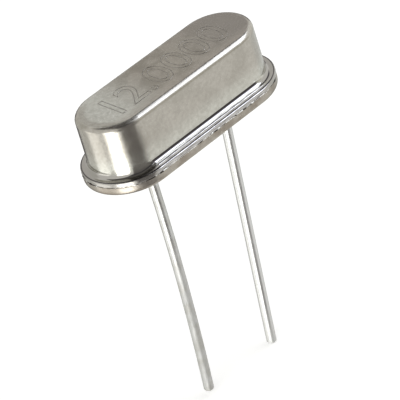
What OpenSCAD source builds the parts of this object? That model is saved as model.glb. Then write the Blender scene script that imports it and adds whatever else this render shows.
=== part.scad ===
// Low-profile through-hole quartz crystal unit.
// A drawn metal can is resistance-welded to a flanged base. Two tinned leads pass through the base in glass
// beads, and inside the can two spring clips carry a silvered strip of quartz.
// Millimetres, +Z up. The origin is the middle of the base's underside, which lies on the board, and X runs
// along the body from the left lead to the right one.

/* [Can] */
// Length over the can's wall, at its foot
can_length = 10.12; // [9.6:0.02:11]
// Width over the can's wall, at its foot
can_width = 3.7; // [3.3:0.05:4.5]
// Height of the can's top above the board
body_height = 3.3; // [3:0.05:5]
// Thickness of the can's sheet
sheet = 0.24; // [0.16:0.01:0.28]
// How far each wall leans in by the top
wall_lean = 0.05; // [0.01:0.01:0.12]
// Outer radius round the edge of the can's top
top_radius = 0.27; // [0.26:0.01:0.4]
// Radius inside the can, under that edge
top_inner_radius = 0.08; // [0.04:0.01:0.2]
// Radius where the wall turns out into the flange
flare_radius = 0.22; // [0.18:0.01:0.24]
// Radius at the wall's foot round the ends, where there is no ridge
end_flare_radius = 0.14; // [0.1:0.01:0.16]
// Width of the ridge along each long side, from the wall's foot
ridge_width = 0.32; // [0.3:0.01:0.32]
// Height of that ridge above the flange, which the weld presses flat outside it and round the ends
ridge_height = 0.13; // [0.1:0.01:0.14]
// Radius on the outer edge of that ridge
ridge_radius = 0.04; // [0.02:0.01:0.05]
// Radius at the inner edge of the can's mouth
mouth_radius = 0.2; // [0.1:0.01:0.25]

/* [Base] */
// How far the flanges stand out from the can's wall, all round
flange_overhang = 0.4; // [0.39:0.01:0.6]
// Thickness of the base's flange
base_flange = 0.44; // [0.3:0.01:0.6]
// Height of the base's raised middle above its flange
plateau_height = 0.52; // [0.4:0.01:0.7]
// Gap between the raised middle and the can's wall
plateau_gap = 0.05; // [0.03:0.01:0.15]
// Radius round the underside of the base's flange
underside_radius = 0.15; // [0.08:0.01:0.2]
// Radius on the two flange edges that meet at the weld seam
seam_radius = 0.05; // [0.03:0.01:0.08]
// Radius on the upper edge of the can's flange, and of the raised middle
rim_radius = 0.07; // [0.04:0.01:0.1]

/* [Leads] */
// Distance between the leads, centre to centre
lead_pitch = 4.88; // [4.6:0.02:5.2]
// Diameter of the bare wire, inside the glass and the can
wire_diameter = 0.43; // [0.35:0.01:0.46]
// Diameter of the tinned wire, below the base
tinned_diameter = 0.5; // [0.48:0.01:0.56]
// Length of the left lead below the base, along the wire
left_length = 13.55; // [10:0.05:20]
// Length of the right lead below the base, along the wire
right_length = 13.8; // [10:0.05:20]
// Straight length of each lead just below the base
stub_length = 0.9; // [0.6:0.1:2]
// Lean of the left lead towards -X below its stub, in degrees
left_lean = 0; // [0:0.5:7]
// Lean of the right lead towards -X below its stub, in degrees
right_lean = 5; // [0:0.5:7]
// Radius of the bend into that lean, at the middle of the wire
bend_radius = 0.8; // [0.4:0.1:0.8]
// Further curl of the left lead towards -X, spread over the rest of its length, in degrees
left_curl = 5; // [0:0.5:8]
// Further curl of the right lead, in the same way
right_curl = 0; // [0:0.5:8]
// Radius of the dome on the cut end of each lead
tip_dome = 0.3; // [0.29:0.01:0.4]
// Gap between the raised middle and the head of each lead
head_gap = 0.15; // [0.1:0.01:0.3]
// Diameter of each lead's head
head_diameter = 0.9; // [0.6:0.05:1]
// Thickness of each lead's head
head_thickness = 0.12; // [0.08:0.01:0.2]

/* [Glass seals] */
// Diameter of the glass bead round each lead
bead_diameter = 1.3; // [1:0.05:1.6]
// Depth of the bead's two faces below the metal round them
bead_recess = 0.05; // [0.05:0.01:0.1]
// Height that the glass climbs up the wire at each face
bead_climb = 0.04; // [0.01:0.01:0.04]

/* [Spring clips] */
// Thickness of the clips' ribbon
ribbon = 0.08; // [0.05:0.01:0.12]
// Width of the clips' ribbon
clip_width = 0.9; // [0.6:0.05:1.1]
// Length of the foot welded to the lead's head
foot_length = 0.7; // [0.5:0.05:0.9]
// Height that each clip climbs from its foot to its tongue
clip_rise = 0.5; // [0.3:0.05:0.7]
// Slope of the climbing part, in degrees
clip_slope = 40; // [30:5:60]
// Radius of the ribbon's bends, at its mid-thickness
clip_bend_radius = 0.12; // [0.08:0.01:0.18]
// How far each tongue reaches past the end of the quartz
tongue_reach = 0.35; // [0.3:0.05:0.45]

/* [Quartz strip] */
// Fundamental frequency in megahertz, which sets how thin the strip is
frequency = 12; // [8:0.5:30]
// Gap between each end of the strip and the can
strip_end_gap = 0.8; // [0.6:0.05:1.1]
// Width of the strip
strip_width = 1.8; // [1.2:0.05:2]
// Thickness of the silver films
film = 0.02; // [0.015:0.001:0.03]
// Length of each film's middle pad
pad_length = 4.4; // [3:0.1:5]
// Bare margin between each pad and the strip's long edges
pad_margin = 0.25; // [0.15:0.05:0.4]
// Width of the tab that leads from each pad to its clip
tab_width = 0.5; // [0.3:0.05:0.6]
// Radius of the adhesive dot at each end
dot_radius = 0.42; // [0.3:0.01:0.44]

/* [Hidden] */
$fn = 48;

// Thickness of an AT-cut strip that rings at 1 MHz
at_cut_constant = 1.661;
// Cuts run this far past the metal that they leave
past = 1;
// Rounded corners are filled or cut this far beyond the corner itself
tuck = 0.1;
// A lead's rounded tip is blunted by this much
tip_blunt = 0.01;

// Heights, from the board up
flange_top = base_flange + sheet;
ridge_top = flange_top + ridge_height;
plateau_top = base_flange + plateau_height;
head_bottom = plateau_top + head_gap;
head_top = head_bottom + head_thickness;
tongue_top = head_top + clip_rise + ribbon;
strip_bottom = tongue_top + film;
strip_top = strip_bottom + at_cut_constant / frequency;

// The can, its flange and the base are all slot shapes: a straight spine along X with round ends,
// and the same distance out from the spine all round
spine = can_length - can_width;
flange_half = can_width / 2 + flange_overhang;
ridge_half = can_width / 2 + ridge_width;

// Distance from the spine to the outside of the can's leaning wall at height z
function wall_at(z) = can_width / 2 - wall_lean * (z - flange_top) / (body_height - flange_top);

// Places along X, from the middle of the body
lead_x = lead_pitch / 2;
strip_x = spine / 2 + wall_at(strip_top) - sheet - strip_end_gap;

// The corner between two edges that leave it at angles a and b, filled out to a tangent arc of radius r.
// It is added to a hollow corner, and taken away from a solid one.
module web(corner, a, b, r) {
    half = (b - a) / 2;
    reach = r / tan(half);
    inwards = [cos(a + half), sin(a + half)];
    centre = corner + r / sin(half) * inwards;
    difference() {
        polygon([
            corner - tuck * inwards, corner + reach * [cos(a), sin(a)],
            centre, corner + reach * [cos(b), sin(b)]
        ]);
        translate(centre) circle(r);
    }
}

// Half of a block's cross-section, from the spine out to a leaning side, with its upper edge rounded
module block_section(bottom_half, top_half, bottom, top, r) {
    down_the_side = 360 - atan2(top - bottom, bottom_half - top_half);
    difference() {
        polygon([[0, bottom], [bottom_half, bottom], [top_half, top], [0, top]]);
        web([top_half, top], 180, down_the_side, r);
    }
}

// Half of a flange's cross-section, from the spine out, with its outer edges rounded
module flange_section(bottom, top, lower_r, upper_r) {
    difference() {
        translate([0, bottom]) square([flange_half, top - bottom]);
        web([flange_half, bottom], 90, 180, lower_r);
        web([flange_half, top], 180, 270, upper_r);
    }
}

// Carries half a cross-section round both ends of the slot shape
module around_ends() {
    for (turn = [0, 180])
        rotate(turn) translate([spine / 2, 0, 0]) rotate(-90) rotate_extrude(angle = 180) children();
}

// Carries half a cross-section along both long sides of the slot shape
module along_sides() {
    rotate([90, 0, 90]) linear_extrude(spine, center = true) {
        children();
        mirror([1, 0]) children();
    }
}

// Carries half a cross-section all round the slot shape
module around_slot() {
    around_ends() children();
    along_sides() children();
}

// A bent wire or strip is a list of steps from the origin up +Z. Each step is a straight length, the turn
// after it in degrees towards -X, and the radius of that turn at the middle of the section.
module past_step(step) {
    turn = step[1];
    radius = step[2];
    translate([0, 0, step[0]])
        translate([-sign(turn) * radius * (1 - cos(turn)), 0, radius * sin(abs(turn))])
            rotate([0, -turn, 0]) children();
}

// Carries a cross-section along the steps
module along(steps, i = 0) {
    straight = steps[i][0];
    turn = steps[i][1];
    radius = steps[i][2];
    if (straight > 0)
        linear_extrude(straight) children();
    if (turn != 0)
        translate([0, 0, straight]) rotate(turn < 0 ? 180 : 0) translate([-radius, 0, 0]) rotate([90, 0, 0])
            rotate_extrude(angle = abs(turn)) translate([radius, 0]) children();
    if (i < len(steps) - 1)
        past_step(steps[i]) along(steps, i + 1) children();
}

// Puts something at the far end of the steps
module at_end(steps, i = 0) {
    if (i < len(steps))
        past_step(steps[i]) at_end(steps, i + 1) children();
    else
        children();
}

// Half of the can's cross-section, from the spine out, with the ridge or without it
module can_section(ridged) {
    foot = ridged ? ridge_top : flange_top;
    up_the_wall = 90 + atan2(wall_lean, body_height - flange_top);
    inner_top = body_height - sheet;
    inner_bottom = base_flange - past;
    difference() {
        union() {
            block_section(wall_at(flange_top), wall_at(body_height), flange_top, body_height, top_radius);
            flange_section(base_flange, flange_top, seam_radius, rim_radius);
            if (ridged)
                block_section(ridge_half, ridge_half, base_flange + sheet / 2, ridge_top, ridge_radius);
            web([wall_at(foot), foot], 0, up_the_wall, ridged ? flare_radius : end_flare_radius);
        }
        block_section(
            wall_at(inner_bottom) - sheet, wall_at(inner_top) - sheet,
            inner_bottom, inner_top, top_inner_radius
        );
        web([wall_at(base_flange) - sheet, base_flange], 0, up_the_wall, mouth_radius);
    }
}

// Drawn cover: top, leaning wall, the flange that is welded to the base, and a ridge on each long side of it
module can() {
    color([0.70, 0.69, 0.64]) {
        around_ends() can_section(false);
        along_sides() can_section(true);
    }
}

// Stamped base: flange, raised middle, and the two holes that the glass fills
module base_shell() {
    plateau_half = wall_at(plateau_top) - sheet - plateau_gap;
    color([0.66, 0.62, 0.56]) difference() {
        around_slot() {
            flange_section(0, base_flange, underside_radius, seam_radius);
            block_section(plateau_half, plateau_half, base_flange / 2, plateau_top, rim_radius);
        }
        for (side = [-1, 1])
            translate([side * lead_x, 0, -past]) cylinder(h = plateau_top + 2 * past, d = bead_diameter);
    }
}

// Glass bead in one hole of the base, climbing a little way along the wire at both faces
module glass_seal(side) {
    wire = wire_diameter / 2;
    bead = bead_diameter / 2;
    low = bead_recess;
    high = plateau_top - bead_recess;
    color([0.30, 0.33, 0.30]) translate([side * lead_x, 0, 0]) rotate_extrude() polygon([
        [wire, low - bead_climb], [wire + bead_climb, low], [bead, low],
        [bead, high], [wire + bead_climb, high], [wire, high + bead_climb]
    ]);
}

// What is rounded away from the end of a lead, whose wire comes up +Z and ends at the origin
module tip_trim() {
    translate([0, 0, tip_blunt - tip_dome]) rotate_extrude() difference() {
        square([tip_dome + past, tip_dome + past]);
        circle(tip_dome);
    }
}

// One lead: head and bare wire above the board line, and tinned wire below it
module lead(side, length, lean, curl) {
    degree = PI / 180;
    lower = length - stub_length - lean * degree * bend_radius;
    path = [
        [stub_length, lean, bend_radius],
        curl == 0 ? [lower, 0, 0] : [0, curl, lower / (curl * degree)]
    ];
    color([0.78, 0.77, 0.74]) translate([side * lead_x, 0, 0]) {
        rotate_extrude() polygon([
            [0, 0], [wire_diameter / 2, 0], [wire_diameter / 2, head_bottom],
            [head_diameter / 2, head_bottom], [head_diameter / 2, head_top], [0, head_top]
        ]);
        rotate([180, 0, 0]) difference() {
            along(path) circle(d = tinned_diameter);
            at_end(path) tip_trim();
        }
    }
}

// One spring clip: a ribbon with its foot on a lead's head and its tongue under the end of the strip
module spring_clip(side) {
    climb = (clip_rise - 2 * clip_bend_radius * (1 - cos(clip_slope))) / sin(clip_slope);
    slope_run = 2 * clip_bend_radius * sin(clip_slope) + climb * cos(clip_slope);
    tongue = strip_x + tongue_reach - lead_x - foot_length / 2 - slope_run;
    path = [
        [foot_length, clip_slope, clip_bend_radius],
        [climb, -clip_slope, clip_bend_radius],
        [tongue, 0, 0]
    ];
    color([0.74, 0.72, 0.66]) mirror([side < 0 ? 1 : 0, 0, 0])
        translate([lead_x - foot_length / 2, 0, head_top + ribbon / 2]) rotate([0, 90, 0])
            along(path) square([ribbon, clip_width], center = true);
}

// The vibrating strip of quartz, lying flat over the two tongues
module quartz_blank() {
    color([0.86, 0.90, 0.92]) translate([-strip_x, -strip_width / 2, strip_bottom])
        cube([2 * strip_x, strip_width, strip_top - strip_bottom]);
}

// One silver film: a middle pad with a tab to the end of the strip on the given side
module electrode(side, bottom) {
    pad_width = strip_width - 2 * pad_margin;
    color([0.88, 0.87, 0.84]) translate([0, 0, bottom]) linear_extrude(film) {
        square([pad_length, pad_width], center = true);
        translate([side * strip_x / 2, 0]) square([strip_x, tab_width], center = true);
    }
}

module electrode_top() { electrode(-1, strip_top); }
module electrode_bottom() { electrode(1, tongue_top); }

// Dot of conductive adhesive on a tongue, against the end of the strip and over its top
module bond(side) {
    color([0.80, 0.76, 0.64]) difference() {
        translate([side * strip_x, 0, tongue_top]) rotate_extrude() intersection() {
            circle(dot_radius);
            square(dot_radius);
        }
        translate([-strip_x, -strip_width / 2, tongue_top - past])
            cube([2 * strip_x, strip_width, strip_top - tongue_top + past]);
        if (side < 0)
            electrode_top();
    }
}

can();
base_shell();
glass_seal(-1);  // glass_seal_left
glass_seal(1);  // glass_seal_right
lead(-1, left_length, left_lean, left_curl);  // lead_left
lead(1, right_length, right_lean, right_curl);  // lead_right
spring_clip(-1);  // spring_clip_left
spring_clip(1);  // spring_clip_right
quartz_blank();
electrode_top();
electrode_bottom();
bond(-1);  // bond_left
bond(1);  // bond_right
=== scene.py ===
from math import atan2, cos, hypot, pi, radians, sin, tan

import bmesh
import bpy
from mathutils import Euler, Matrix, Vector, noise


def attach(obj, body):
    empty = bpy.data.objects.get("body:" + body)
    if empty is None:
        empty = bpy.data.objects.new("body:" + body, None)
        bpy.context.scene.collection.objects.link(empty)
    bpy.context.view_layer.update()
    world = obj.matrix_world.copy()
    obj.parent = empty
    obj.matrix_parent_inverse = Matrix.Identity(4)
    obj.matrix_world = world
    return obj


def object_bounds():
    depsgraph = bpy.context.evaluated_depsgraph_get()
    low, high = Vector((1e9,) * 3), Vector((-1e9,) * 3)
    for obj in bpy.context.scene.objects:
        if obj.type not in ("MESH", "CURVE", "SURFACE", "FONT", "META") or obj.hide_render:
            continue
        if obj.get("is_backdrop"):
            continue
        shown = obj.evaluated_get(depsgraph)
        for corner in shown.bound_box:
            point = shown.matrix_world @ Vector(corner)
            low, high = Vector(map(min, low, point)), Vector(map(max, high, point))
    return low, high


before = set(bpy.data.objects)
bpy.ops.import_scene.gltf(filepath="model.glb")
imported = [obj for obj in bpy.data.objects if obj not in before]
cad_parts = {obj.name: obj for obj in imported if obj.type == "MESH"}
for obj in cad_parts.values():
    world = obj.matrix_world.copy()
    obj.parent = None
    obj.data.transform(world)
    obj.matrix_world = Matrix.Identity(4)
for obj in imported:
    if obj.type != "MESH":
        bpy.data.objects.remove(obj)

cad_low, cad_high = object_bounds()

# BASE
# A steel base, stamped with a flat flange and a raised middle and then nickel plated. The plating is thin and
# dull from the press, so the flange's edge is a warm satin grey. Its low edge round both ends is painted
# darker, as painted shade on the underside.
mm = 0.001
mixed_colour = 2  # the place of the colour among a Mix node's outputs
noise_low, noise_high = 0.32, 0.68  # a Noise node's values mostly lie between these
# Where the low edge is painted darker as shade, round both ends
shaded_ends_from, shaded_ends_by = 3.3 * mm, 4.4 * mm
low_edge_from, low_edge_by = 0.24 * mm, 0.12 * mm
most_painted_shade = 0.8


def linear(colour):
    """An sRGB hex colour as the linear colour that a shader takes."""
    parts = [int(colour[i:i + 2], 16) / 255 for i in (1, 3, 5)]
    return [p / 12.92 if p <= 0.04045 else ((p + 0.055) / 1.055) ** 2.4 for p in parts] + [1]


def add(tree, kind, settings=(), inputs=()):
    """Adds a node. settings are its own choices; inputs are plain values, or the outputs that feed it."""
    node = tree.nodes.new("ShaderNode" + kind)
    for name, value in dict(settings).items():
        setattr(node, name, value)
    for name, value in dict(inputs).items():
        socket = next(s for s in node.inputs if s.identifier == name)
        if isinstance(value, bpy.types.NodeSocket):
            tree.links.new(value, socket)
        else:
            socket.default_value = value
    return node


def bare_tree(owner):
    """The emptied node tree of a material or a world."""
    owner.use_nodes = True
    owner.node_tree.nodes.clear()
    return owner.node_tree


def new_finish(name):
    """A new material, its bare tree, and the object coordinates that its patterns lie in."""
    material = bpy.data.materials.new(name)
    tree = bare_tree(material)
    return material, tree, add(tree, "TexCoord").outputs["Object"]


def surface(tree, **sockets):
    """Ends a finish in a Principled shader, with plain values or outputs for its sockets."""
    named = {name.replace("_", " "): value for name, value in sockets.items()}
    shader = add(tree, "BsdfPrincipled", inputs=named)
    add(tree, "OutputMaterial", inputs={"Surface": shader.outputs["BSDF"]})


def turning(tree, first, second, value, start, end, most=1.0):
    """The first colour, which turns softly to the second as a value goes from start to end."""
    share = add(tree, "MapRange", {"interpolation_type": "SMOOTHSTEP"},
                {"Value": value, "From Min": start, "From Max": end, "To Max": most}).outputs["Result"]
    return add(tree, "Mix", {"data_type": "RGBA"},
               {"Factor_Float": share, "A_Color": first, "B_Color": second}).outputs[mixed_colour]


def patchy(tree, place, first, second, size_mm, low=0.42, high=0.62):
    """A colour that drifts between two in soft patches of about that size."""
    cloud = add(tree, "TexNoise", inputs={"Vector": place, "Scale": 1 / (size_mm * mm), "Detail": 3.0})
    return turning(tree, linear(first), linear(second), cloud.outputs["Fac"], low, high)


def uneven(tree, place, size_mm, low, high):
    """A plain number that wanders between low and high over about that size."""
    cloud = add(tree, "TexNoise", inputs={"Vector": place, "Scale": 1 / (size_mm * mm), "Detail": 4.0})
    spread = add(tree, "MapRange", inputs={"Value": cloud.outputs["Fac"], "From Min": noise_low,
                                           "From Max": noise_high, "To Min": low, "To Max": high})
    return spread.outputs["Result"]


def grained(tree, place, size_mm, height_mm):
    """A normal roughened by grains of that size and height."""
    grain = add(tree, "TexNoise", inputs={"Vector": place, "Scale": 1 / (size_mm * mm), "Detail": 3.0})
    return add(tree, "Bump", inputs={"Strength": 1.0, "Distance": height_mm * mm,
                                     "Height": grain.outputs["Fac"]}).outputs["Normal"]


def dress(material, *nodes):
    """Gives carried-over CAD nodes that finish in all their material slots."""
    for node in nodes:
        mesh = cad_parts[node].data
        if not mesh.materials:
            mesh.materials.append(material)
        for i in range(len(mesh.materials)):
            mesh.materials[i] = material


base_plate, tree, place = new_finish("nickel_plated_stamped_steel")
along, _, height = add(tree, "SeparateXYZ", inputs={"Vector": place}).outputs
from_middle = add(tree, "Math", {"operation": "ABSOLUTE"}, {"Value": along}).outputs[0]
# Painted shade: the flange's low edge is darkened round both ends
either_end = add(tree, "MapRange", inputs={"Value": from_middle, "From Min": shaded_ends_from,
                                           "From Max": shaded_ends_by, "To Max": most_painted_shade}).outputs["Result"]
low_edge = add(tree, "MapRange", inputs={"Value": height, "From Min": low_edge_from,
                                         "From Max": low_edge_by}).outputs["Result"]
painted_shade_low_edge = add(tree, "Math", {"operation": "MULTIPLY"}, {"Value": either_end, "Value_001": low_edge}).outputs[0]
steel = add(tree, "Mix", {"data_type": "RGBA"},
            {"Factor_Float": painted_shade_low_edge, "A_Color": patchy(tree, place, "#A8A297", "#968E82", 0.8),
             "B_Color": linear("#736B60")}).outputs[mixed_colour]
surface(tree, Metallic=1.0, Base_Color=steel, Roughness=uneven(tree, place, 0.4, 0.26, 0.38),
        Normal=grained(tree, place, 0.09, 0.003))
dress(base_plate, "base_shell")

# GLASS SEALS
# Beads of greenish-grey sealing glass, fused into the base's two holes so that they grip the wires.
# The glass is glossy from the furnace, with tiny bubbles under its skin.
seal_glass, tree, place = new_finish("fused_sealing_glass")
surface(tree, IOR=1.52, Base_Color=patchy(tree, place, "#3E4640", "#2C322E", 0.25),
        Roughness=uneven(tree, place, 0.15, 0.06, 0.2), Normal=grained(tree, place, 0.12, 0.004))
dress(seal_glass, "glass_seal_left", "glass_seal_right")

# LEADS
# Iron-nickel wire that matches the glass, dipped in solder under the base and cropped to a round tip. The tin
# is bright near the base, and dull and uneven towards the tip, where the dip drained off. The left wire is
# dull over its lower half, and the right one only near its tip.
bright_to, dull_from = -3.5 * mm, -9.0 * mm
right_further = 7.0 * mm  # the right wire stays bright this much further down
bright_metal, dull_metal = 0.87, 0.5
tinned_wire, tree, place = new_finish("solder_dipped_wire")
along, _, height = add(tree, "SeparateXYZ", inputs={"Vector": place}).outputs
left_to_right = {"Value": along, "From Min": -0.5 * mm, "From Max": 0.5 * mm}
further = add(tree, "MapRange", inputs={**left_to_right, "To Max": right_further}).outputs["Result"]
reached = add(tree, "Math", {"operation": "ADD"}, {"Value": height, "Value_001": further}).outputs[0]
towards_tip = add(tree, "MapRange", {"interpolation_type": "SMOOTHSTEP"},
                  {"Value": reached, "From Min": bright_to, "From Max": dull_from}).outputs["Result"]
metal = add(tree, "MapRange", inputs={"Value": towards_tip, "To Min": bright_metal,
                                      "To Max": dull_metal}).outputs["Result"]
rough = add(tree, "Mix", {"data_type": "FLOAT"},
            {"Factor_Float": towards_tip, "A_Float": uneven(tree, place, 0.5, 0.27, 0.35),
             "B_Float": uneven(tree, place, 0.3, 0.52, 0.7)}).outputs[0]
right_one = add(tree, "MapRange", inputs=left_to_right).outputs["Result"]
tin = add(tree, "Mix", {"data_type": "RGBA"},
          {"Factor_Float": right_one, "A_Color": patchy(tree, place, "#C6C6C2", "#BBBAB4", 0.7),
           "B_Color": linear("#CFCFCB")}).outputs[mixed_colour]
drained = add(tree, "Mapping", inputs={"Vector": place, "Scale": (1, 1, 0.25)}).outputs["Vector"]
surface(tree, Metallic=metal, Base_Color=tin, Roughness=rough, Normal=grained(tree, drained, 0.2, 0.0025))
dress(tinned_wire, "lead_left", "lead_right")

# SPRING CLIPS
# Thin ribbons of nickel silver, rolled bright and then bent, and welded to the lead heads inside the can.
# They hold the quartz by its ends. The rolling leaves a fine grain along the ribbon.
clip_strip, tree, place = new_finish("rolled_nickel_silver")
rolled = add(tree, "Mapping", inputs={"Vector": place, "Scale": (0.12, 1, 1)}).outputs["Vector"]
surface(tree, Metallic=1.0, Base_Color=patchy(tree, place, "#C9C1AC", "#B9B09A", 0.5),
        Roughness=uneven(tree, rolled, 0.08, 0.22, 0.34), Normal=grained(tree, rolled, 0.04, 0.002))
dress(clip_strip, "spring_clip_left", "spring_clip_right")

# QUARTZ STRIP
# A strip of clear quartz, cut at the angle that keeps its pitch steady, lapped thin and etched. Its faces are
# finely frosted where no silver covers them.
lapped_quartz, tree, place = new_finish("lapped_quartz")
surface(tree, IOR=1.544, Transmission_Weight=0.85, Base_Color=patchy(tree, place, "#F2F6F7", "#E2EAED", 1.2),
        Roughness=uneven(tree, place, 0.2, 0.22, 0.34), Normal=grained(tree, place, 0.03, 0.001))
dress(lapped_quartz, "quartz_blank")

# SILVER FILMS
# Silver, evaporated through a mask on both faces of the quartz, with a tab to one end. It copies the lapped
# grain under it, so it is bright without being a mirror.
silver_film, tree, place = new_finish("evaporated_silver")
surface(tree, Metallic=1.0, Base_Color=patchy(tree, place, "#EDEBE4", "#E0DCD0", 1.0),
        Roughness=uneven(tree, place, 0.3, 0.2, 0.3), Normal=grained(tree, place, 0.03, 0.001))
dress(silver_film, "electrode_top", "electrode_bottom")

# ADHESIVE DOTS
# Silver-filled epoxy, dispensed on the clip's tongue and against the strip, and then cured. Metal flakes show
# in a dull tan binder.
flake_size = 0.03 * mm
silver_epoxy, tree, place = new_finish("silver_filled_epoxy")
flakes = add(tree, "TexVoronoi", inputs={"Vector": place, "Scale": 1 / flake_size}).outputs["Distance"]
flake = add(tree, "MapRange", inputs={"Value": flakes, "From Min": 0.3, "From Max": 0.45,
                                      "To Min": 0.9, "To Max": 0.25}).outputs["Result"]
surface(tree, IOR=1.5, Metallic=flake, Base_Color=patchy(tree, place, "#CBC2AA", "#B6AC92", 0.12),
        Roughness=uneven(tree, place, 0.05, 0.35, 0.55), Normal=grained(tree, place, 0.03, 0.004))
dress(silver_epoxy, "bond_left", "bond_right")

# CAN
# Drawn from thin nickel-plated sheet, with a rounded top edge and a flare into the flange. The weld presses
# the flange smooth. The wall's foot is painted paler with the flange's reflection, the top's colour is
# painted with the reflection it shows, and lines of painted shade and dark reflection run along the flange.
slot_spine = 3.21 * mm
straight_to, round_from = 0.05 * mm, 0.3 * mm
streak_fineness = 12.0
reflected_foot_from, reflected_foot_by = 2.0 * mm, 1.05 * mm
top_from, top_by = 3.28 * mm, 3.297 * mm
flange_from, flange_by = 0.92 * mm, 0.84 * mm
pressed_to, drawn_from = 0.9 * mm, 1.2 * mm


def band(tree, value, low, high, soft):
    """1 where a number lies between low and high, fading to 0 over the soft width on both sides."""
    up, down = (add(tree, "MapRange", {"interpolation_type": "SMOOTHSTEP"},
                    {"Value": value, "From Min": outside, "From Max": inside}).outputs["Result"]
                for outside, inside in ((low - soft, low), (high + soft, high)))
    return add(tree, "Math", {"operation": "MULTIPLY"}, {"Value": up, "Value_001": down}).outputs[0]


can_skin, tree, place = new_finish("drawn_nickel_plate")
along, depth, height = add(tree, "SeparateXYZ", inputs={"Vector": place}).outputs

# How far a point lies past either end of the slot shape's straight spine, and how far from the spine itself
from_middle = add(tree, "Math", {"operation": "ABSOLUTE"}, {"Value": along}).outputs[0]
past_end = add(tree, "Math", {"operation": "SUBTRACT"},
               {"Value": from_middle, "Value_001": slot_spine}).outputs[0]
past_end = add(tree, "Math", {"operation": "MAXIMUM"}, {"Value": past_end, "Value_001": 0.0}).outputs[0]
to_spine = add(tree, "CombineXYZ", inputs={"X": past_end, "Y": depth}).outputs[0]
from_spine = add(tree, "VectorMath", {"operation": "LENGTH"}, {"Vector": to_spine}).outputs["Value"]
long_side = add(tree, "MapRange", {"interpolation_type": "SMOOTHSTEP"},
                {"Value": past_end, "From Min": round_from, "From Max": straight_to}).outputs["Result"]

# The wall, painted paler towards its foot as the flange's reflection, and then the top, whose colour is
# painted
# reflection: greenish grey at the left, browner and darker to the right, and paler along the front edge
wall = patchy(tree, place, "#B5B1A7", "#ADA99F", 1.6)
# Painted reflection: the wall turns paler towards its foot, where the flange below is reflected
wall = turning(tree, wall, linear("#C9C8BE"), height, reflected_foot_from, reflected_foot_by)
top_middle_reflection = patchy(tree, place, "#ABA59A", "#989287", 0.8)
top = turning(tree, linear("#CFCFC6"), top_middle_reflection, along, -3.6 * mm, -0.6 * mm)
top = turning(tree, top, linear("#969089"), along, 0.5 * mm, 4.5 * mm)
top = turning(tree, top, linear("#B5ADA3"), depth, -0.9 * mm, -1.6 * mm, most=0.6)
# Painted highlight: a paler band along the edge of the top at the left end
left_end = add(tree, "MapRange", {"interpolation_type": "SMOOTHSTEP"},
               {"Value": along, "From Min": -3.5 * mm, "From Max": -4.3 * mm}).outputs["Result"]
left_shoulder_highlight = band(tree, from_spine, 1.36 * mm, 1.6 * mm, 0.2 * mm)
left_shoulder_highlight = add(tree, "Math", {"operation": "MULTIPLY"}, {"Value": left_shoulder_highlight, "Value_001": left_end}).outputs[0]
top = add(tree, "Mix", {"data_type": "RGBA"}, {"Factor_Float": left_shoulder_highlight, "A_Color": top,
                                               "B_Color": linear("#B9B6AC")}).outputs[mixed_colour]
on_top = add(tree, "MapRange", inputs={"Value": height, "From Min": top_from,
                                       "From Max": top_by}).outputs["Result"]

# The dies score the flange with fine streaks that run round it, drawn coarser than they are so that they show
across = add(tree, "Math", {"operation": "SUBTRACT"}, {"Value": from_spine, "Value_001": height}).outputs[0]
across = add(tree, "Math", {"operation": "MULTIPLY"},
             {"Value": across, "Value_001": streak_fineness}).outputs[0]
along_flange = add(tree, "CombineXYZ", inputs={"X": along, "Y": depth, "Z": across}).outputs[0]
flange = add(tree, "Mix", {"data_type": "RGBA"}, {"Factor_Float": long_side, "A_Color": linear("#ABA8A1"),
                                                  "B_Color": linear("#C6C4C0")}).outputs[mixed_colour]
low_down = add(tree, "MapRange", inputs={"Value": height, "From Min": flange_from,
                                         "From Max": flange_by}).outputs["Result"]
scored = add(tree, "Math", {"operation": "MULTIPLY", "use_clamp": True},
             {"Value": uneven(tree, along_flange, 0.55, -0.35, 1.0), "Value_001": low_down}).outputs[0]
scored = add(tree, "Math", {"operation": "MULTIPLY"}, {"Value": scored, "Value_001": long_side}).outputs[0]

# Painted shade and painted dark reflections: on the long sides a line of painted shade in the crease at the
# wall's foot, a broken dark reflection on the ridge that runs on round the right end, and all round a dark
# reflection outside the ridge, at the brink of the flange
drawn_in = add(tree, "Math", {"operation": "MULTIPLY_ADD"},
               {"Value": past_end, "Value_001": 0.1, "Value_002": from_spine}).outputs[0]
broken_ridge_reflection = add(tree, "Math", {"operation": "MULTIPLY", "use_clamp": True},
             {"Value": band(tree, drawn_in, 2.075 * mm, 2.13 * mm, 0.015 * mm),
              "Value_001": uneven(tree, along_flange, 0.9, -0.1, 2.2)}).outputs[0]
below_ridge = add(tree, "MapRange", inputs={"Value": height, "From Min": 0.705 * mm, "From Max": 0.69 * mm,
                                            "To Max": 0.85}).outputs["Result"]
foot_shade_line, ridge_dark_reflection, brink_dark_reflection = (
    add(tree, "Math", {"operation": "MULTIPLY"}, {"Value": line, "Value_001": where}).outputs[0]
    for line, where in ((band(tree, height, 0.888 * mm, 0.975 * mm, 0.03 * mm), long_side),
                        (broken_ridge_reflection, band(tree, along, -3.25 * mm, 4.4 * mm, 0.3 * mm)),
                        (band(tree, from_spine, 2.165 * mm, 2.21 * mm, 0.012 * mm), below_ridge)))
painted_dark_lines = add(tree, "Math", {"operation": "MAXIMUM"}, {"Value": foot_shade_line, "Value_001": ridge_dark_reflection}).outputs[0]
painted_dark_lines = add(tree, "Math", {"operation": "MAXIMUM"}, {"Value": painted_dark_lines, "Value_001": brink_dark_reflection}).outputs[0]

# Each of these lies over what comes before it, with the drawing's mottle over the wall and the top, and the
# painted shade and dark reflections last
mottled = uneven(tree, place, 0.16, 0.0, 0.3)
colour = wall
for share, layer in ((on_top, top), (mottled, linear("#918C80")), (low_down, flange),
                     (scored, linear("#75716E")), (painted_dark_lines, linear("#454142"))):
    colour = add(tree, "Mix", {"data_type": "RGBA"}, {"Factor_Float": share, "A_Color": colour,
                                                      "B_Color": layer}).outputs[mixed_colour]

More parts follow.
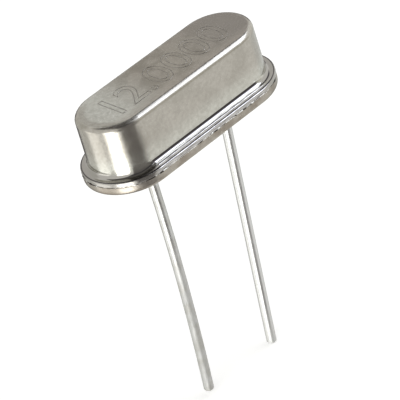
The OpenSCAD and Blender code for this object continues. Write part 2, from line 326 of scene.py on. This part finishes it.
# Rougher where it was only drawn than where the weld pressed it, and a little duller at the flange's margin
above_foot = add(tree, "MapRange", {"interpolation_type": "SMOOTHSTEP"},
                 {"Value": height, "From Min": pressed_to, "From Max": drawn_from}).outputs["Result"]
margin = add(tree, "MapRange", inputs={"Value": from_spine, "From Min": 2.12 * mm, "From Max": 2.2 * mm,
                                       "To Max": 0.08}).outputs["Result"]
pressed = add(tree, "Math", {"operation": "ADD"},
              {"Value": uneven(tree, place, 0.2, 0.07, 0.14), "Value_001": margin}).outputs[0]
rough = add(tree, "Mix", {"data_type": "FLOAT"},
            {"Factor_Float": above_foot, "A_Float": pressed, "B_Float": uneven(tree, place, 0.5, 0.2, 0.27)})
surface(tree, Metallic=1.0, Base_Color=colour, Roughness=rough.outputs[0],
        Normal=grained(tree, place, 0.12, 0.0006))
dress(can_skin, "can")

# FOOT FLARE
# Round each end of the can, the wall's foot sweeps out into the flange in one soft curve. It takes over from
# the ridges on the long sides, which sink away into it just past the corners. It is part of the can's sheet.
wall_foot = 1.848 * mm
flange_z = 0.684 * mm
ridge_z = 0.81 * mm
ridge_out = 2.17 * mm
bend = 0.22 * mm
brink = 0.04 * mm
sink = 0.006 * mm
buried = flange_z - brink - sink
left_reach, right_reach = radians(26), radians(44)
half_turn_steps = 90
bend_steps, brink_steps = 12, 6


def near(first, second):
    """Whether two lengths are the same, to within a ten-thousandth of a millimetre."""
    return abs(first - second) < 1e-4 * mm


def placed(name, data):
    """An object at the origin for a mesh, which has its place in it, or for a lamp or a camera."""
    data.name = name
    made = bpy.data.objects.new(name, data)
    bpy.context.collection.objects.link(made)
    return made


def mesh_of(form):
    """The mesh of a form that is finished with."""
    mesh = bpy.data.meshes.new("form")
    form.to_mesh(mesh)
    form.free()
    return mesh


form = bmesh.new()
for end, ridge_reach in ((-1, left_reach), (1, right_reach)):
    # Down the wall, out along the ridge's top, down into the flange and back inside the metal, turned half
    # round the end's axis
    inside = wall_foot - 2 * sink
    section = [(inside, ridge_z + bend + 2 * sink), (wall_foot, ridge_z + bend + sink), (wall_foot, ridge_z),
               (ridge_out, ridge_z), (ridge_out, buried), (inside, buried)]
    corners = [form.verts.new((end * slot_spine, -out, up)) for out, up in section]
    sides = [form.edges.new(pair) for pair in zip(corners, corners[1:] + corners[:1])]
    bmesh.ops.spin(form, geom=corners + sides, cent=(end * slot_spine, 0, 0), axis=(0, 0, end), angle=pi,
                   steps=half_turn_steps, use_merge=False)
    for out, radius, segments in ((wall_foot, bend, bend_steps), (ridge_out, brink, brink_steps)):
        ring = [edge for edge in form.edges
                if all(near(vert.co.z, ridge_z) and vert.co.x * end > 0
                       and near(hypot(vert.co.x - end * slot_spine, vert.co.y), out) for vert in edge.verts)]
        bmesh.ops.bevel(form, geom=ring, offset=radius, segments=segments, profile=0.5, affect="EDGES",
                        material=-1)

    # The ridge sinks softly into the flange over that reach of the end's turn
    for vert in form.verts:
        if vert.co.x * end > 0 and vert.co.z > flange_z:
            past_corner = atan2(max(vert.co.x * end - slot_spine, 0), abs(vert.co.y)) / ridge_reach
            sunk = past_corner * past_corner * (3 - 2 * past_corner) if past_corner < 1 else 1
            vert.co.z -= (ridge_z - flange_z) * sunk
for face in form.faces:
    face.smooth = True
rims = [edge for edge in form.edges if edge.is_boundary]
for edge in rims:
    edge.smooth = False
for cap in bmesh.ops.holes_fill(form, edges=rims, sides=0)["faces"]:
    cap.smooth = False
bmesh.ops.recalc_face_normals(form, faces=form.faces)
foot_flare = placed("foot_flare", mesh_of(form))
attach(foot_flare, "root")
foot_flare.data.materials.append(can_skin)

# WELD SEAM
# The current that welds the can to the base squeezes out a thin, broken bead of metal all round the seam.
# It cools in tiny lumps, and its colour is painted in small bright and dark patches: painted glints and
# painted shade between them.
seam_z = 0.44 * mm
seam_out = 2.222 * mm
bead_radius = 0.038 * mm
bead_sides = 8
run_steps = 90
lump_size, speck_size = 0.5 * mm, 0.12 * mm
plain, lumpy, specked, thinnest = 0.5, 1.4, 0.9, 0.25
form = bmesh.new()
bmesh.ops.create_circle(form, segments=bead_sides, radius=bead_radius)
bmesh.ops.rotate(form, matrix=Matrix.Rotation(pi / 2, 3, "X"), verts=form.verts)
bmesh.ops.rotate(form, matrix=Matrix.Rotation(-pi / 2, 3, "Z"), verts=form.verts)
bmesh.ops.translate(form, vec=(slot_spine, -seam_out, seam_z), verts=form.verts)
front = form.edges[:]
for end in (1, -1):
    turned = bmesh.ops.spin(form, geom=front, cent=(end * slot_spine, 0, 0), axis=(0, 0, 1), angle=pi,
                            steps=half_turn_steps)
    front = [e for e in turned["geom_last"] if isinstance(e, bmesh.types.BMEdge)]
    for _ in range(run_steps):
        pulled = bmesh.ops.extrude_edge_only(form, edges=front)["geom"]
        front = [e for e in pulled if isinstance(e, bmesh.types.BMEdge) and all(v in pulled for v in e.verts)]
        bmesh.ops.translate(form, vec=(-end * 2 * slot_spine / run_steps, 0, 0),
                            verts=[v for v in pulled if isinstance(v, bmesh.types.BMVert)])
bmesh.ops.remove_doubles(form, verts=form.verts, dist=0.001 * mm)
bmesh.ops.recalc_face_normals(form, faces=form.faces)
for vert in form.verts:
    middle = Vector((max(-slot_spine, min(slot_spine, vert.co.x)), 0, seam_z))
    outwards = Vector((vert.co.x - middle.x, vert.co.y, 0)).normalized()
    middle += outwards * seam_out
    swell = plain + lumpy * noise.noise(middle / lump_size) + specked * noise.noise(middle / speck_size)
    vert.co = middle + (vert.co - middle) * max(thinnest, swell)
weld_seam = placed("weld_seam", mesh_of(form))
weld_seam.data.shade_smooth()
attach(weld_seam, "root")
# Painted glints and painted shade: near-white and near-black patches of colour along the bead
weld_metal_painted_glints, tree, place = new_finish("squeezed_weld_metal_painted_glints")
surface(tree, Metallic=1.0, Base_Color=patchy(tree, place, "#DAD9D2", "#342F2C", 0.38, 0.44, 0.52),
        Roughness=uneven(tree, place, 0.1, 0.1, 0.25))
weld_seam.data.materials.append(weld_metal_painted_glints)

# FREQUENCY MARK
# The frequency in megahertz, drawn on the top by a laser as hair-thin outlines that melt up a little proud.
# They are only a little darker than the plate, so they show where the light catches their edges.
line_radius = 0.009  # for letters about 1 high, before they are brought to size
line_height = 1.2 * mm
mark_length, mark_width = 7.0 * mm, 1.8 * mm
mark_middle = Vector((0.1 * mm, -0.05 * mm, cad_high.z))
text = bpy.data.curves.new("mark_text", "FONT")
text.body = "12.0000"
text.fill_mode = "NONE"
text.bevel_depth = line_radius
text.bevel_resolution = 1
text.resolution_u = 5
lettering = placed("mark_text", text)
mark = bpy.data.meshes.new_from_object(lettering.evaluated_get(bpy.context.evaluated_depsgraph_get()))
bpy.data.objects.remove(lettering)
low, high = (Vector([limit(v.co[i] for v in mark.vertices) for i in range(3)]) for limit in (min, max))
mark.transform(Matrix.Translation(-(low + high) / 2))
size = high - low
mark.transform(Matrix.Diagonal((mark_length / size.x, mark_width / size.y, line_height, 1)))
mark.transform(Matrix.Translation(mark_middle))
frequency_mark = placed("frequency_mark", mark)
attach(frequency_mark, "root")
marked, tree, place = new_finish("laser_marked_nickel")
surface(tree, Metallic=1.0, Base_Color=patchy(tree, place, "#9D9890", "#87827B", 0.3),
        Roughness=uneven(tree, place, 0.1, 0.3, 0.45))
mark.materials.append(marked)

# STUDIO
# A plain pale floor under the tips, a white room, and two soft lamps for the matt surfaces. White, grey and
# black boards stand out of view for the metal to reflect.
floor_half = 1.5
floor_glow = 0.35
room_light, room_seen = 0.6, 1.0
board_distance = 0.4
lamp_distance, lamp_size, lamp_power = 0.5, 0.4, 0.5
form = bmesh.new()
bmesh.ops.create_grid(form, x_segments=1, y_segments=1, size=floor_half)
bmesh.ops.translate(form, vec=(0, 0, cad_low.z), verts=form.verts)
floor = placed("floor", mesh_of(form))
floor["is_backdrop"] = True
floor.visible_glossy = False


def seen_white(tree):
    """1 for the rays that look at the background: the camera's, and those that metal and glass send on."""
    path = add(tree, "LightPath")
    straight = add(tree, "Math", {"operation": "MAXIMUM"},
                   {"Value": path.outputs["Is Camera Ray"], "Value_001": path.outputs["Is Glossy Ray"]})
    return add(tree, "Math", {"operation": "MAXIMUM"},
               {"Value": straight.outputs[0], "Value_001": path.outputs["Is Transmission Ray"]}).outputs[0]


paper = bpy.data.materials.new("white_paper")
tree = bare_tree(paper)
matt = add(tree, "BsdfDiffuse", inputs={"Color": linear("#F2F2F0")})
lift = add(tree, "Math", {"operation": "MULTIPLY"}, {"Value": seen_white(tree), "Value_001": floor_glow})
glow = add(tree, "Emission", inputs={"Color": linear("#FFFFFF"), "Strength": lift.outputs[0]})
both = add(tree, "AddShader", inputs={"Shader": matt.outputs[0], "Shader_001": glow.outputs[0]})
add(tree, "OutputMaterial", inputs={"Surface": both.outputs[0]})
floor.data.materials.append(paper)

world = bpy.data.worlds.new("white_room")
bpy.context.scene.world = world
tree = bare_tree(world)
level = add(tree, "MapRange", inputs={"Value": seen_white(tree), "To Min": room_light, "To Max": room_seen})
room = add(tree, "Background", inputs={"Color": linear("#FFFFFF"), "Strength": level.outputs["Result"]})
add(tree, "OutputWorld", inputs={"Surface": room.outputs[0]})
world.cycles.sampling_method = "NONE"


def facing(azimuth, elevation):
    """The direction from the object to a place in the studio. Azimuth turns from -Y towards +X."""
    a, e = radians(azimuth), radians(elevation)
    return Vector((sin(a) * cos(e), -cos(a) * cos(e), sin(e)))


def board(name, azimuth, elevation, half_width, half_height, colour, strength, distance=board_distance,
          turn=0):
    """A flat board or lit panel, square to the object, that only shiny surfaces see.

    Angles and half sizes are in degrees, as seen from the object. distance is in metres.
    """
    form = bmesh.new()
    bmesh.ops.create_grid(form, x_segments=1, y_segments=1, size=1)
    bmesh.ops.scale(form, vec=(tan(radians(half_width)) * distance, tan(radians(half_height)) * distance, 1),
                    verts=form.verts)
    bmesh.ops.rotate(form, matrix=Matrix.Rotation(radians(turn), 3, "Z"), verts=form.verts)
    mesh = mesh_of(form)
    towards = facing(azimuth, elevation)
    facing_in = towards.to_track_quat("Z", "Y").to_matrix().to_4x4()
    mesh.transform(Matrix.Translation(towards * distance) @ facing_in)
    panel = placed(name, mesh)
    panel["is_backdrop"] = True
    panel.visible_camera = panel.visible_diffuse = panel.visible_shadow = panel.visible_transmission = False
    sheet = bpy.data.materials.new(name)
    tree = bare_tree(sheet)
    light = add(tree, "Emission", inputs={"Color": linear(colour), "Strength": strength})
    add(tree, "OutputMaterial", inputs={"Surface": light.outputs[0]})
    sheet.cycles.emission_sampling = "NONE"
    mesh.materials.append(sheet)


board("left_softbox", -61, -21, 16.5, 27, "#FFFFFF", 4.0)
board("far_left_panel", -116, -24, 16.5, 24, "#FFFFFF", 1.75)
board("back_left_board", -176, -5, 37, 50, "#E0E0DD", 1.0, 0.42)
board("front_flag", -10, 5, 25, 52, "#807D7D", 1.0, 0.38)
board("right_softbox", 72, 51.5, 31.5, 12, "#EAF0FF", 4.4, turn=20)
board("right_softbox_spill", 27, 61, 5, 8, "#E6EBF0", 1.0, 0.365)
board("back_board", 152, 12, 33, 26, "#E5E4E3", 1.0)
board("back_low_board", 150, -13, 30, 31, "#565355", 1.0, 0.39)
board("back_flag", 131, 46.5, 17, 6, "#1E1C1D", 1.0, 0.38)
board("right_low_board", 110, -36, 30, 24, "#EAECEC", 1.0)
board("front_right_board", 42, 4, 24, 14, "#DEDCD6", 1.0)
board("upper_flag", -12, 52, 25, 13, "#4E4D50", 1.0, 0.37)
board("ceiling", 0, 89.9, 29, 29, "#706E6E", 1.0, 0.36)

# The lamps light what is matt. Shiny surfaces see the boards instead.
for name, azimuth, elevation in (("left_lamp", -66, 40), ("right_lamp", 72, 50)):
    light = bpy.data.lights.new(name, "AREA")
    light.shape, light.size, light.energy = "DISK", lamp_size, lamp_power
    towards = facing(azimuth, elevation)
    lamp = placed(name, light)
    lamp.location = towards * lamp_distance
    lamp.rotation_euler = towards.to_track_quat("Z", "Y").to_euler()
    lamp.visible_camera = lamp.visible_glossy = False

camera = bpy.data.cameras.new("camera")
camera.lens, camera.sensor_width = 221.08, 36
camera.clip_start, camera.clip_end = 0.01, 10
viewer = placed("camera", camera)
viewer.location = Vector((-53.383, -78.400, 59.260)) * mm
viewer.rotation_euler = Euler([radians(a) for a in (55.0423, 14.3500, -43.9607)])
bpy.context.scene.camera = viewer
bpy.context.scene.view_settings.view_transform = "Standard"

low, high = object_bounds()
